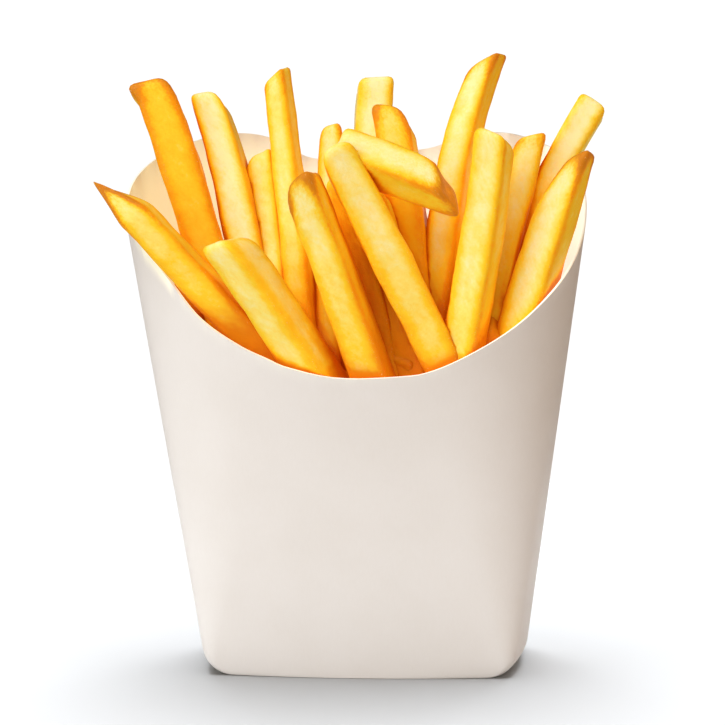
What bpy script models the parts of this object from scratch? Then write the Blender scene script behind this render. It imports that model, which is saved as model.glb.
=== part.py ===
"""French fries standing in a white paperboard scoop carton, in metres, +Z up.

The carton is one folded shell with a low scooped front and a taller back with two lobes.
The fries are one fused heap: a core that fills the carton, with the fries that show
standing in it, fanned outwards and leaning on the rim. The origin is the middle of the
underside of the carton, and the front faces -Y.
"""

import math
import random
from typing import NamedTuple

import bmesh
import bpy
from mathutils import Matrix, Vector

MM = 0.001

# Carton outline: a nearly straight-sided base that opens into an oval mouth
BASE_HALF_WIDTH = 34.2 * MM
BASE_HALF_DEPTH = 12.5 * MM
BASE_CORNER_RADIUS = 1.5 * MM
BASE_FRONT_BULGE = 1.4 * MM
BASE_SIDE_BULGE = 1.4 * MM
MOUTH_HALF_WIDTH = 50.0 * MM
MOUTH_HALF_DEPTH = 26.0 * MM
MOUTH_HEIGHT = 97.3 * MM
END_ROUND_RADIUS = 5.3 * MM
END_ROUND_STEPS = 5
BOARD_THICKNESS = 0.6 * MM
WALL_STATIONS = 84
WALL_LEVELS = 4

# Height of the cut edge, in mm, at angles round the mouth: -90 is the front, 90 the back
RIM_HEIGHTS = {
    -180: 102.6, -163: 98.2, -146: 92.2, -130: 82.3, -114: 76.3, -101: 72.8,
    -92: 69.6, -84: 69.6, -72: 71.4, -56: 75.5, -42: 79.9, -28: 85.3, -14: 91.1,
    0: 97.8, 14: 105.8, 30: 112.0, 48: 115.7, 60: 115.2, 71: 111.8,
    90: 110.2, 107: 109.7, 119: 115.0, 130: 116.0, 148: 113.0, 165: 108.2,
}

# Core of the heap, inside the carton
CORE_GAP = 1.0 * MM
CORE_BOTTOM = 1.3 * MM
CORE_SHOULDER = 56.0 * MM
CORE_CROWN = 68.0 * MM
CORE_LEVELS = 6
CORE_STATIONS = 36
CROWN_WIDTH_SHARE = 0.7
CROWN_DEPTH_SHARE = 0.6

# Fries: the rounding of the long edges is a share of the width
EDGE_ROUND = 0.16
FRY_CUTS = 3
TIP_CUTS = 3
END_MARGIN = 1.0 * MM
FOOT_TAPER = 0.92
FOOT_TAPER_SHARE = 0.33
TIP_TAPER_POWER = 3
SLANT_POWER = 4
CORNER_POWER = 3
BEND_FACTOR = 6.75
POINT_LENGTH = 10.5 * MM
POINT_POWER = 1.2
HOOK_LENGTH = 4.0 * MM

# Looks
SHARP_ANGLE = math.radians(35.0)
BOARD_COLOUR = (0.83, 0.79, 0.74)
BOARD_ROUGHNESS = 0.55
POTATO_COLOUR = (0.93, 0.62, 0.12)
POTATO_ROUGHNESS = 0.45


class Fry(NamedTuple):
    """One fry: the middles of its ends and how it is cut, in mm and degrees.

    The slant is how much further the tip reaches at its right than at its left, and at its
    back than at its front, for each unit of width. The bow is how far the middle stands out
    to the right and to the back. A positive roll turns the left side to the front. The corners
    are how far the tip's left and right corners are rounded off. The point is how much the tip
    narrows, as a share, and how far to the right, from -1 to 1, its point lies. The hook is how
    far the tip's left corner curls out.
    """

    tip: tuple
    foot: tuple
    width: float
    depth: float
    roll: float = 0.0
    slant: tuple = (0.0, 0.0)
    bow: tuple = (0.0, 0.0)
    taper: float = 0.92
    corners: tuple = (0.0, 0.0)
    point: tuple = (0.0, 0.0)
    hook: float = 0.0


# The fries that stand out of the carton, from left to right as seen from the front
STANDING_FRIES = (
    Fry((-51.9, -15.6, 112.0), (-10.6, -12.4, 64.3), 7.9, 7.6, -6, (-0.2, -0.2), (-0.5, 0.0), 0.86,
        point=(0.86, -0.62)),
    Fry((-44.1, 2.0, 130.0), (-25.0, -5.5, 66.0), 9.2, 8.8, 14, (-0.05, -0.3), (0.6, 0.0), 0.88,
        corners=(0.0, 1.6), hook=1.5),
    Fry((-32.9, 8.0, 126.3), (-18.2, -4.0, 64.0), 8.4, 8.2, -4, (-0.1, -0.3), (1.1, 0.0), 0.86,
        corners=(0.3, 3.2)),
    Fry((-25.1, -22.0, 99.3), (-2.0, -14.0, 60.0), 8.8, 8.4, -25, (-0.05, -0.5), (0.2, 0.0), 0.95,
        corners=(0.2, 2.4)),
    Fry((-21.9, 9.0, 111.9), (-15.3, -7.0, 62.0), 7.8, 7.8, 0, (0.3, -0.4), (0.3, 0.0), 0.85,
        corners=(3.0, 0.0)),
    Fry((-17.3, 6.0, 131.2), (-9.2, -8.0, 64.0), 5.9, 6.4, -14, (0.5, 0.1), (0.2, 0.0), 0.82,
        corners=(0.6, 0.0)),
    Fry((-8.5, -24.0, 112.6), (8.0, -14.0, 58.0), 8.4, 8.2, -14, (0.45, -0.4), (0.3, 0.0), 0.9,
        corners=(4.6, 0.3)),
    Fry((-1.6, -20.0, 118.5), (24.0, -12.5, 62.0), 9.0, 8.8, 12, (0.0, -0.4), (0.2, 0.0), 0.86,
        corners=(2.6, 1.6)),
    Fry((22.4, -18.0, 108.7), (-1.5, -16.0, 118.0), 8.8, 8.4, 42, (0.7, -0.45), (-0.2, 0.0), 0.78),
    Fry((3.3, 17.0, 128.1), (-1.0, 0.0, 70.0), 8.0, 7.4, 4, (0.12, -0.3), (0.0, 0.0), 0.98,
        corners=(0.3, 0.0)),
    Fry((8.2, 4.0, 123.0), (15.5, -8.0, 62.0), 8.8, 8.6, -8, (-0.25, -0.4), (0.5, 0.0), 0.92,
        corners=(0.5, 3.2)),
    Fry((-6.0, 10.0, 118.2), (-6.0, -7.0, 66.0), 6.0, 6.4, 0, (0.2, -0.4), (0.0, 0.0), 0.85,
        corners=(1.5, 0.5)),
    Fry((28.9, 10.0, 133.4), (15.5, -9.5, 66.0), 7.2, 7.4, -22, (0.62, 0.1), (-2.3, 0.0), 0.92,
        corners=(1.2, 0.0)),
    Fry((32.0, -15.0, 120.5), (22.2, -13.0, 62.0), 8.2, 8.4, -14, (-0.15, -0.4), (0.5, 0.0), 0.9,
        corners=(0.8, 0.9)),
    Fry((38.2, 2.0, 117.0), (27.0, -6.0, 72.0), 7.2, 7.2, 0, (0.45, -0.4), (0.0, 0.0), 0.85,
        corners=(0.5, 0.0)),
    Fry((51.7, 8.0, 124.0), (26.0, -2.0, 76.0), 6.8, 6.8, 0, (-0.1, -0.3), (-0.6, 0.0), 0.95,
        corners=(0.0, 0.4)),
    Fry((48.8, -7.5, 114.8), (32.6, -7.0, 66.0), 9.0, 8.6, -25, (0.55, -0.2), (-0.3, 0.0), 0.8,
        corners=(4.2, 0.0), point=(0.25, 0.6)),
    Fry((-2.5, -7.0, 110.0), (7.5, -10.0, 64.0), 7.4, 7.4, 10, (0.0, -0.3), (0.0, 0.0), 0.9,
        corners=(1.0, 1.0)),
    Fry((4.5, -5.0, 106.0), (14.5, -9.5, 62.0), 7.6, 7.6, 0, (0.0, -0.3), (0.0, 0.0), 0.9,
        corners=(1.2, 1.2)),
)

# The fries behind them, in staggered rows from front to back, leaning outwards, in mm and degrees
ROW_SEED = 11
ROW_DEPTHS = (-9.0, -1.5, 6.0, 13.5)
ROW_TIP_HEIGHTS = (76.0, 81.0, 92.0, 97.0)
ROW_HEIGHT_SPREAD = 4.0
ROW_HALF_WIDTH = 46.0
ROW_COUNT = 8
ROW_SPACING = 9.2
ROW_STAGGER = 0.5
ROW_JITTER = 1.4
ROW_LEAN = 0.1
ROW_LEAN_SPREAD = 3.0
ROW_FOOT_HEIGHT = 60.0
ROW_FOOT_WIDTH_SHARE = 0.85
ROW_FOOT_DEPTH_SHARE = 0.4
ROW_SIZES = (7.2, 8.8)
ROW_SLANT = 0.5
ROW_ROLL = 30.0


def new_collection(name):
    """Link and return a new collection."""
    collection = bpy.data.collections.new(name)
    bpy.context.scene.collection.children.link(collection)
    return collection


def new_object(name, shape, collection):
    """Make an object from a bmesh, which is freed."""
    mesh = bpy.data.meshes.new(name)
    shape.to_mesh(mesh)
    shape.free()
    made = bpy.data.objects.new(name, mesh)
    collection.objects.link(made)
    return made


def add_material(target, name, colour, roughness):
    """Give the object its own material."""
    material = bpy.data.materials.new(name)
    material.use_nodes = True
    surface = material.node_tree.nodes["Principled BSDF"]
    surface.inputs["Base Color"].default_value = (*colour, 1.0)
    surface.inputs["Roughness"].default_value = roughness
    surface.inputs["Metallic"].default_value = 0.0
    target.data.materials.append(material)


def arc_side(half_length, bulge):
    """Radius of a shallow arc over a straight side, and the angle from its middle to its end."""
    radius = (half_length ** 2 + bulge ** 2) / (2.0 * bulge)
    return radius, math.asin(half_length / radius)


def base_outline(angle):
    """Point of the base outline whose outward normal has this angle."""
    across = math.cos(angle)
    along = math.sin(angle)
    half_width = BASE_HALF_WIDTH - BASE_CORNER_RADIUS
    half_depth = BASE_HALF_DEPTH - BASE_CORNER_RADIUS
    front_radius, front_end = arc_side(half_width, BASE_FRONT_BULGE)
    side_radius, side_end = arc_side(half_depth, BASE_SIDE_BULGE)
    if abs(along) > math.cos(front_end):
        centre = math.copysign(1.0, along) * (half_depth + BASE_FRONT_BULGE - front_radius)
        point = Vector((front_radius * across, centre + front_radius * along))
    elif abs(across) > math.cos(side_end):
        centre = math.copysign(1.0, across) * (half_width + BASE_SIDE_BULGE - side_radius)
        point = Vector((centre + side_radius * across, side_radius * along))
    else:
        point = Vector((math.copysign(half_width, across), math.copysign(half_depth, along)))
    return point + BASE_CORNER_RADIUS * Vector((across, along))


def mouth_outline(angle):
    """Point of the oval mouth whose outward normal has this angle."""
    across = MOUTH_HALF_WIDTH * math.cos(angle)
    along = MOUTH_HALF_DEPTH * math.sin(angle)
    reach = math.hypot(across, along)
    return Vector((MOUTH_HALF_WIDTH * across / reach, MOUTH_HALF_DEPTH * along / reach))


def wall_point(angle, height, inset=0.0):
    """Point of the wall, on the straight line from the base outline to the mouth.

    The lowest part tucks in at both ends, where the board turns under in a round fold.
    """
    share = height / MOUTH_HEIGHT
    point = base_outline(angle).lerp(mouth_outline(angle), share)
    point -= inset * Vector((math.cos(angle), math.sin(angle)))
    if height < END_ROUND_RADIUS:
        rise = END_ROUND_RADIUS - height
        tuck = END_ROUND_RADIUS - math.sqrt(END_ROUND_RADIUS ** 2 - rise ** 2)
        half_width = base_outline(0.0).lerp(mouth_outline(0.0), share).x
        point.x *= 1.0 - tuck / half_width
    return Vector((point.x, point.y, height))


def station_angles(count):
    """Wall normals, close together both along the flat front and round the tight ends."""
    stretch = math.sqrt(MOUTH_HALF_WIDTH / MOUTH_HALF_DEPTH)
    turns = [2.0 * math.pi * step / count - math.pi for step in range(count)]
    return [math.atan2(stretch * math.sin(turn), math.cos(turn)) for turn in turns]


def rim_height(angle):
    """Height of the cut edge where the wall's normal has this angle, as a smooth closed curve."""
    turn = math.degrees(
        math.atan2(MOUTH_HALF_DEPTH * math.sin(angle), MOUTH_HALF_WIDTH * math.cos(angle))
    )
    places = sorted(RIM_HEIGHTS)
    count = len(places)
    after = next((step for step, place in enumerate(places) if place > turn), count)
    knots = []
    for step in range(after - 2, after + 2):
        place = places[step % count] + 360.0 * (step // count)
        knots.append((place, RIM_HEIGHTS[places[step % count]]))
    (a, za), (b, zb), (c, zc), (d, zd) = knots
    span = c - b
    share = (turn - b) / span
    leaving = (zc - za) / (c - a) * span
    arriving = (zd - zb) / (d - b) * span
    rise = zc - zb
    cubic = leaving + arriving - 2.0 * rise
    square = 3.0 * rise - 2.0 * leaving - arriving
    return MM * (zb + share * (leaving + share * (square + share * cubic)))


def add_rings(shape, rings, close_top):
    """Join rings of points, from the bottom up, into a skin with a flat bottom."""
    loops = [[shape.verts.new(point) for point in ring] for ring in rings]
    count = len(loops[0])
    for lower, upper in zip(loops, loops[1:]):
        for step in range(count):
            after = (step + 1) % count
            shape.faces.new((lower[step], lower[after], upper[after], upper[step]))
    shape.faces.new(list(reversed(loops[0])))
    if close_top:
        shape.faces.new(loops[-1])


def add_carton(collection):
    """The folded board: one open skin from the base to the cut edge, given its thickness."""
    angles = station_angles(WALL_STATIONS)
    rings = []
    for step in range(END_ROUND_STEPS + 1):
        fold = 0.5 * math.pi * step / END_ROUND_STEPS
        height = END_ROUND_RADIUS * (1.0 - math.cos(fold))
        rings.append([wall_point(angle, height) for angle in angles])
    for level in range(1, WALL_LEVELS + 1):
        share = level / WALL_LEVELS
        ring = []
        for angle in angles:
            height = END_ROUND_RADIUS + share * (rim_height(angle) - END_ROUND_RADIUS)
            ring.append(wall_point(angle, height))
        rings.append(ring)
    shape = bmesh.new()
    add_rings(shape, rings, close_top=False)
    carton = new_object("carton", shape, collection)
    board = carton.modifiers.new("board", "SOLIDIFY")
    board.thickness = BOARD_THICKNESS
    board.offset = -1.0
    board.use_even_offset = True
    carton.data.shade_smooth()
    carton.data.set_sharp_from_angle(angle=SHARP_ANGLE)
    add_material(carton, "warm white paperboard", BOARD_COLOUR, BOARD_ROUGHNESS)


def add_core(collection):
    """The packed middle of the heap: it fills the carton and crowns below the rim."""
    angles = station_angles(CORE_STATIONS)
    rings = []
    for level in range(CORE_LEVELS + 1):
        share = level / CORE_LEVELS
        height = CORE_BOTTOM + share * share * (CORE_SHOULDER - CORE_BOTTOM)
        rings.append([wall_point(angle, height, CORE_GAP + BOARD_THICKNESS) for angle in angles])
    crown = []
    for point in rings[-1]:
        crown.append(Vector((CROWN_WIDTH_SHARE * point.x, CROWN_DEPTH_SHARE * point.y, CORE_CROWN)))
    rings.append(crown)
    shape = bmesh.new()
    add_rings(shape, rings, close_top=True)
    return new_object("core", shape, collection)


def fry_matrix(fry):
    """Place and turn of a fry: its own Z runs from foot to tip and its Y looks back."""
    tip = MM * Vector(fry.tip)
    foot = MM * Vector(fry.foot)
    axis = (tip - foot).normalized()
    right = Vector((0.0, 1.0, 0.0)).cross(axis).normalized()
    back = axis.cross(right)
    turn = Matrix((right, back, axis)).transposed() @ Matrix.Rotation(math.radians(fry.roll), 3, "Z")
    return Matrix.Translation(foot) @ turn.to_4x4()


def add_fry(name, fry, collection):
    """One fry: a bar with rounded long edges, tapered, bowed and cut at a slant."""
    length = MM * (Vector(fry.tip) - Vector(fry.foot)).length
    width = MM * fry.width
    depth = MM * fry.depth
    shape = bmesh.new()
    bmesh.ops.create_cube(shape, size=1.0)
    bmesh.ops.scale(shape, vec=(width, depth, length), verts=shape.verts)
    bmesh.ops.translate(shape, vec=(0.0, 0.0, 0.5 * length), verts=shape.verts)
    long_edges = [edge for edge in shape.edges if abs(edge.verts[0].co.z - edge.verts[1].co.z) > MM]
    bmesh.ops.bevel(
        shape, geom=long_edges, offset=EDGE_ROUND * width, segments=1, profile=0.5,
        affect="EDGES", material=-1,
    )
    long_edges = [edge for edge in shape.edges if abs(edge.verts[0].co.z - edge.verts[1].co.z) > MM]
    bmesh.ops.subdivide_edges(shape, edges=long_edges, cuts=FRY_CUTS, use_grid_fill=True)
    if fry.point[0] > 0.0 or fry.hook > 0.0:
        near_end = length - END_MARGIN
        end_edges = [
            edge for edge in shape.edges if edge.calc_length() > END_MARGIN
            and min(vert.co.z for vert in edge.verts) < near_end < max(vert.co.z for vert in edge.verts)
        ]
        bmesh.ops.subdivide_edges(shape, edges=end_edges, cuts=TIP_CUTS)
    bow = Matrix.Rotation(math.radians(-fry.roll), 2) @ Vector(fry.bow)
    for vert in shape.verts:
        share = vert.co.z / length
        size = FOOT_TAPER + (1.0 - FOOT_TAPER) * min(1.0, share / FOOT_TAPER_SHARE)
        size *= 1.0 + (fry.taper - 1.0) * share ** TIP_TAPER_POWER
        slant = fry.slant[0] * vert.co.x + fry.slant[1] * vert.co.y
        arch = MM * BEND_FACTOR * share * share * (1.0 - share)
        right = 2.0 * vert.co.x / width
        drop = MM * fry.corners[right > 0.0] * abs(right) ** CORNER_POWER
        near = max(0.0, 1.0 - (length - vert.co.z) / POINT_LENGTH)
        narrow = fry.point[0] * near ** POINT_POWER
        curl = MM * fry.hook * max(0.0, 1.0 - (length - vert.co.z) / HOOK_LENGTH) * max(0.0, -right)
        vert.co.x = size * vert.co.x * (1.0 - narrow) + 0.5 * width * narrow * fry.point[1] - curl
        vert.co.x += arch * bow.x
        vert.co.y = size * vert.co.y * (1.0 - narrow) + arch * bow.y
        vert.co.z += (slant - drop) * share ** SLANT_POWER
    bmesh.ops.transform(shape, matrix=fry_matrix(fry), verts=shape.verts)
    bmesh.ops.recalc_face_normals(shape, faces=shape.faces)
    return new_object(name, shape, collection)


def row_fries():
    """The rows of fries behind the ones in front, uneven in height, size and lean."""
    draw = random.Random(ROW_SEED)
    middle = 0.5 * (ROW_COUNT - 1 + ROW_STAGGER)
    fries = []
    for row, (depth, tip_height) in enumerate(zip(ROW_DEPTHS, ROW_TIP_HEIGHTS)):
        for place in range(ROW_COUNT):
            step = place - middle + ROW_STAGGER * (row % 2)
            across = ROW_SPACING * step + draw.uniform(-ROW_JITTER, ROW_JITTER)
            lean = ROW_LEAN * across + draw.uniform(-ROW_LEAN_SPREAD, ROW_LEAN_SPREAD)
            height = tip_height + draw.uniform(-ROW_HEIGHT_SPREAD, ROW_HEIGHT_SPREAD)
            room = math.sqrt(1.0 - (across / ROW_HALF_WIDTH) ** 2)
            tip = (across + lean, depth * room + draw.uniform(-ROW_JITTER, ROW_JITTER), height)
            foot = (ROW_FOOT_WIDTH_SHARE * across, ROW_FOOT_DEPTH_SHARE * depth, ROW_FOOT_HEIGHT)
            size = draw.uniform(*ROW_SIZES)
            slant = (draw.uniform(-ROW_SLANT, ROW_SLANT), draw.uniform(-ROW_SLANT, ROW_SLANT))
            roll = draw.uniform(-ROW_ROLL, ROW_ROLL)
            fries.append(Fry(tip, foot, size, size, roll, slant))
    return fries


def keep_largest_shell(target):
    """Delete the skins of sealed hollows and loose scraps, so that one closed skin is left."""
    shape = bmesh.new()
    shape.from_mesh(target.data)
    waiting = set(shape.faces)
    shells = []
    while waiting:
        shell = []
        front = [waiting.pop()]
        while front:
            face = front.pop()
            shell.append(face)
            for edge in face.edges:
                for neighbour in edge.link_faces:
                    if neighbour in waiting:
                        waiting.remove(neighbour)
                        front.append(neighbour)
        shells.append(shell)
    shells.sort(key=lambda shell: sum(face.calc_area() for face in shell))
    spare = [face for shell in shells[:-1] for face in shell]
    bmesh.ops.delete(shape, geom=spare, context="FACES")
    shape.to_mesh(target.data)
    shape.free()


def add_fries(collection):
    """The heap: every fry joined to the core by one union."""
    pieces = new_collection("fries to join")
    heap = add_core(collection)
    heap.name = "fries"
    for place, fry in enumerate([*STANDING_FRIES, *row_fries()]):
        add_fry(f"fry {place}", fry, pieces)
    union = heap.modifiers.new("union", "BOOLEAN")
    union.operation = "UNION"
    union.operand_type = "COLLECTION"
    union.collection = pieces
    union.solver = "MANIFOLD"
    graph = bpy.context.evaluated_depsgraph_get()
    joined = bpy.data.meshes.new_from_object(heap.evaluated_get(graph))
    heap.modifiers.clear()
    heap.data = joined
    for piece in list(pieces.objects):
        bpy.data.objects.remove(piece)
    bpy.data.collections.remove(pieces)
    keep_largest_shell(heap)
    heap.data.materials.clear()
    heap.data.shade_smooth()
    heap.data.set_sharp_from_angle(angle=SHARP_ANGLE)
    add_material(heap, "fried potato", POTATO_COLOUR, POTATO_ROUGHNESS)


def main():
    """Clear the scene and build the carton and its fries."""
    for item in list(bpy.data.objects):
        bpy.data.objects.remove(item)
    collection = new_collection("carton of fries")
    add_carton(collection)
    add_fries(collection)


main()
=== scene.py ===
"""French fries standing in a white paperboard scoop carton: the looks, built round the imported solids.

The carton is one folded board with a low curved front and a taller back with two lobes. The
fries stand in it as loose bars at true size, over a core that stands for the ones below.
All sizes are in metres, +Z up, and the front of the carton faces -Y.
"""

import enum
import logging
import math
import random
from dataclasses import dataclass, field

import bmesh
import bpy
import numpy as np
from mathutils import Matrix, Vector, noise
from mathutils.bvhtree import BVHTree


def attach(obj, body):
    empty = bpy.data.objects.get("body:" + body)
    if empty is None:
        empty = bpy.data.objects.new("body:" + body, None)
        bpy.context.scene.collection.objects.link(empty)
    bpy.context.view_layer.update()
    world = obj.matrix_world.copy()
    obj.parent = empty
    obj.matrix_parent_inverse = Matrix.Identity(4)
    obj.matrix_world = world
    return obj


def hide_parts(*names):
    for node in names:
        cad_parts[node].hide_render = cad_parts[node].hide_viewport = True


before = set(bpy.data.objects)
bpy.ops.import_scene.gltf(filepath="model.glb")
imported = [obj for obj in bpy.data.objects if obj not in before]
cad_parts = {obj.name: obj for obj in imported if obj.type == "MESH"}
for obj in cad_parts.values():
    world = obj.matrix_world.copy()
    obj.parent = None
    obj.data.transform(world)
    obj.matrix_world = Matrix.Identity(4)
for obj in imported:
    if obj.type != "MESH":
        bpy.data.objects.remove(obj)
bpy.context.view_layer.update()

MM = 0.001
IMAGE_SIZE = 725.0
SENSOR_WIDTH = 36.0

log = logging.getLogger("fries")

Triple = tuple[float, float, float]
Pair = tuple[float, float]

WHITE: Triple = (1.0, 1.0, 1.0)
BLACK: Triple = (0.0, 0.0, 0.0)
FRY_VALUES = ("tone", "arris", "tip", "depth_shade")
FRY_BOUNCE_REACH = 45.0 * MM


class Tone(enum.Enum):
    """How deeply a fry is fried, from pale cream to amber, as a share of the colour run."""

    CREAM = 0.10
    PALE = 0.22
    LIGHT = 0.32
    GOLD = 0.44
    AMBER = 0.60


@dataclass(frozen=True)
class Fry:
    """One fry: the middles of its ends and how it is cut, in mm and degrees.

    The slant is how much further the tip reaches at its right than at its left, and at its
    back than at its front, for each unit of width. The bow is how far the middle stands out
    to the right and to the back. A positive roll turns the left side to the front. The corners
    are how far the tip's left and right corners are rounded off. The point is how much the tip
    narrows, as a share, and how far to the right, from -1 to 1, its point lies. The hook is how
    far the tip's left corner curls out. The browning is how dark the tip is fried. The depth
    shade is how much painted shade deepens the tone down in the carton, where shade falls. The
    painted side shade is how much deeper the left and the right face are toned than the front:
    painted shade where it is positive and painted light where it is negative, for how the light
    falls on each side.
    """

    tip: Triple
    foot: Triple
    width: float
    depth: float
    roll: float = 0.0
    slant: Pair = (0.0, 0.0)
    bow: Pair = (0.0, 0.0)
    taper: float = 0.92
    corners: Pair = (0.0, 0.0)
    point: Pair = (0.0, 0.0)
    hook: float = 0.0
    tone: Tone = Tone.LIGHT
    browning: float = 0.25
    depth_shade: float = 0.0
    painted_side_shade: Pair = (0.0, 0.15)


STANDING_FRIES = (
    Fry((-51.9, -15.6, 112.0), (-10.6, -12.4, 64.3), 7.9, 7.6, -6, (-0.2, -0.2), (-0.5, 0.0), 0.86,
        point=(0.86, -0.62), tone=Tone.LIGHT, browning=3.0, depth_shade=1.0, painted_side_shade=(0.0, 0.18)),
    Fry((-44.1, 2.0, 130.0), (-25.0, -5.5, 66.0), 9.2, 8.8, 14, (-0.05, -0.3), (0.6, 0.0), 0.88,
        corners=(0.0, 1.6), hook=1.5, tone=Tone.AMBER, browning=1.1, depth_shade=0.1, painted_side_shade=(0.05, 0.1)),
    Fry((-32.9, 8.0, 126.3), (-18.2, -4.0, 64.0), 8.4, 8.2, -4, (-0.1, -0.3), (1.1, 0.0), 0.86,
        corners=(0.3, 3.2), tone=Tone.CREAM, browning=0.3, depth_shade=0.0, painted_side_shade=(-0.1, 0.3)),
    Fry((-25.1, -22.0, 99.3), (-2.0, -14.0, 60.0), 8.8, 8.4, -25, (-0.05, -0.5), (0.2, 0.0), 0.95,
        corners=(0.2, 2.4), tone=Tone.PALE, browning=0.2, depth_shade=0.35, painted_side_shade=(0.0, 0.05)),
    Fry((-21.9, 9.0, 111.9), (-15.3, -7.0, 62.0), 7.8, 7.8, 0, (0.3, -0.4), (0.3, 0.0), 0.85,
        corners=(3.0, 0.0), tone=Tone.PALE, browning=0.15, depth_shade=0.3, painted_side_shade=(0.0, 0.2)),
    Fry((-17.3, 6.0, 131.2), (-9.2, -8.0, 64.0), 5.9, 6.4, -14, (0.5, 0.1), (0.2, 0.0), 0.82,
        corners=(0.6, 0.0), tone=Tone.LIGHT, browning=0.5, depth_shade=0.4, painted_side_shade=(0.0, 0.1)),
    Fry((-8.5, -24.0, 112.6), (8.0, -14.0, 58.0), 8.4, 8.2, -14, (0.45, -0.4), (0.3, 0.0), 0.9,
        corners=(4.6, 0.3), tone=Tone.PALE, browning=1.3, depth_shade=0.75, painted_side_shade=(0.0, 0.28)),
    Fry((-1.6, -20.0, 118.5), (24.0, -12.5, 62.0), 9.0, 8.8, 12, (0.0, -0.4), (0.2, 0.0), 0.86,
        corners=(2.6, 1.6), tone=Tone.PALE, browning=0.2, depth_shade=0.6, painted_side_shade=(0.1, 0.15)),
    Fry((22.4, -18.0, 108.7), (-1.5, -16.0, 118.0), 8.8, 8.4, 42, (0.7, -0.45), (-0.2, 0.0), 0.78,
        tone=Tone.AMBER, browning=0.9, depth_shade=0.0, painted_side_shade=(-0.42, 0.0)),
    Fry((3.3, 17.0, 128.1), (-1.0, 0.0, 70.0), 8.0, 7.4, 4, (0.12, -0.3), (0.0, 0.0), 0.98,
        corners=(0.3, 0.0), tone=Tone.CREAM, browning=0.3, depth_shade=0.2, painted_side_shade=(0.0, 0.1)),
    Fry((8.2, 4.0, 123.0), (15.5, -8.0, 62.0), 8.8, 8.6, -8, (-0.25, -0.4), (0.5, 0.0), 0.92,
        corners=(0.5, 3.2), tone=Tone.GOLD, browning=0.9, depth_shade=0.3, painted_side_shade=(0.0, 0.1)),
    Fry((-6.0, 10.0, 118.2), (-6.0, -7.0, 66.0), 6.0, 6.4, 0, (0.2, -0.4), (0.0, 0.0), 0.85,
        corners=(1.5, 0.5), tone=Tone.PALE, browning=0.5, depth_shade=0.3, painted_side_shade=(0.0, 0.2)),
    Fry((28.9, 10.0, 133.4), (15.5, -9.5, 66.0), 7.2, 7.4, -22, (0.62, 0.1), (-2.3, 0.0), 0.92,
        corners=(1.2, 0.0), tone=Tone.PALE, browning=0.9, depth_shade=0.15, painted_side_shade=(0.0, 0.3)),
    Fry((32.0, -15.0, 120.5), (22.2, -13.0, 62.0), 8.2, 8.4, -14, (-0.15, -0.4), (0.5, 0.0), 0.9,
        corners=(0.8, 0.9), tone=Tone.PALE, browning=0.3, depth_shade=0.45, painted_side_shade=(0.0, 0.25)),
    Fry((38.2, 2.0, 117.0), (27.0, -6.0, 72.0), 7.2, 7.2, 0, (0.45, -0.4), (0.0, 0.0), 0.85,
        corners=(0.5, 0.0), tone=Tone.PALE, browning=0.7, depth_shade=0.1, painted_side_shade=(0.0, 0.2)),
    Fry((51.7, 8.0, 124.0), (26.0, -2.0, 76.0), 6.8, 6.8, 0, (-0.1, -0.3), (-0.6, 0.0), 0.95,
        corners=(0.0, 0.4), tone=Tone.CREAM, browning=0.3, depth_shade=0.1, painted_side_shade=(0.0, 0.2)),
    Fry((48.8, -7.5, 114.8), (32.6, -7.0, 66.0), 9.0, 8.6, -25, (0.55, -0.2), (-0.3, 0.0), 0.8,
        corners=(4.2, 0.0), point=(0.25, 0.6), tone=Tone.PALE, browning=1.5, depth_shade=0.0,
        painted_side_shade=(0.0, 0.34)),
    Fry((-2.5, -7.0, 110.0), (7.5, -10.0, 64.0), 7.4, 7.4, 10, (0.0, -0.3), (0.0, 0.0), 0.9,
        corners=(1.0, 1.0), tone=Tone.GOLD, browning=0.1, depth_shade=0.9, painted_side_shade=(0.0, 0.1)),
    Fry((4.5, -5.0, 106.0), (14.5, -9.5, 62.0), 7.6, 7.6, 0, (0.0, -0.3), (0.0, 0.0), 0.9,
        corners=(1.2, 1.2), tone=Tone.GOLD, browning=0.1, depth_shade=0.9, painted_side_shade=(0.0, 0.1)),
)


@dataclass(frozen=True)
class FryRows:
    """The fries behind the standing ones, in staggered rows from front to back, in mm and degrees."""

    seed: int = 11
    depths: tuple[float, ...] = (-9.0, -1.5, 6.0, 13.5)
    tip_heights: tuple[float, ...] = (76.0, 81.0, 92.0, 97.0)
    height_spread: float = 4.0
    half_width: float = 46.0
    count: int = 8
    spacing: float = 9.2
    stagger: float = 0.5
    jitter: float = 1.4
    lean: float = 0.1
    lean_spread: float = 3.0
    foot_height: float = 60.0
    foot_width_share: float = 0.85
    foot_depth_share: float = 0.4
    sizes: Pair = (7.2, 8.8)
    slant: float = 0.5
    roll: float = 30.0
    tones: tuple[Tone, ...] = (Tone.LIGHT, Tone.GOLD, Tone.PALE)

    def fries(self) -> list[Fry]:
        """Work out the rows, uneven in height, size and lean.

        Returns:
            The fries, row by row from the front.
        """
        draw = random.Random(self.seed)
        middle = 0.5 * (self.count - 1 + self.stagger)
        fries = []
        for row, (depth, tip_height) in enumerate(zip(self.depths, self.tip_heights)):
            for place in range(self.count):
                step = place - middle + self.stagger * (row % 2)
                across = self.spacing * step + draw.uniform(-self.jitter, self.jitter)
                lean = self.lean * across + draw.uniform(-self.lean_spread, self.lean_spread)
                height = tip_height + draw.uniform(-self.height_spread, self.height_spread)
                room = math.sqrt(1.0 - (across / self.half_width) ** 2)
                tip = (across + lean, depth * room + draw.uniform(-self.jitter, self.jitter), height)
                foot = (self.foot_width_share * across, self.foot_depth_share * depth, self.foot_height)
                size = draw.uniform(*self.sizes)
                slant = (draw.uniform(-self.slant, self.slant), draw.uniform(-self.slant, self.slant))
                roll = draw.uniform(-self.roll, self.roll)
                tone = self.tones[(row + 2 * place) % len(self.tones)]
                # Every row fry takes the full painted depth shade.
                fries.append(Fry(tip, foot, size, size, roll, slant, tone=tone, depth_shade=1.0))
        return fries


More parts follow.
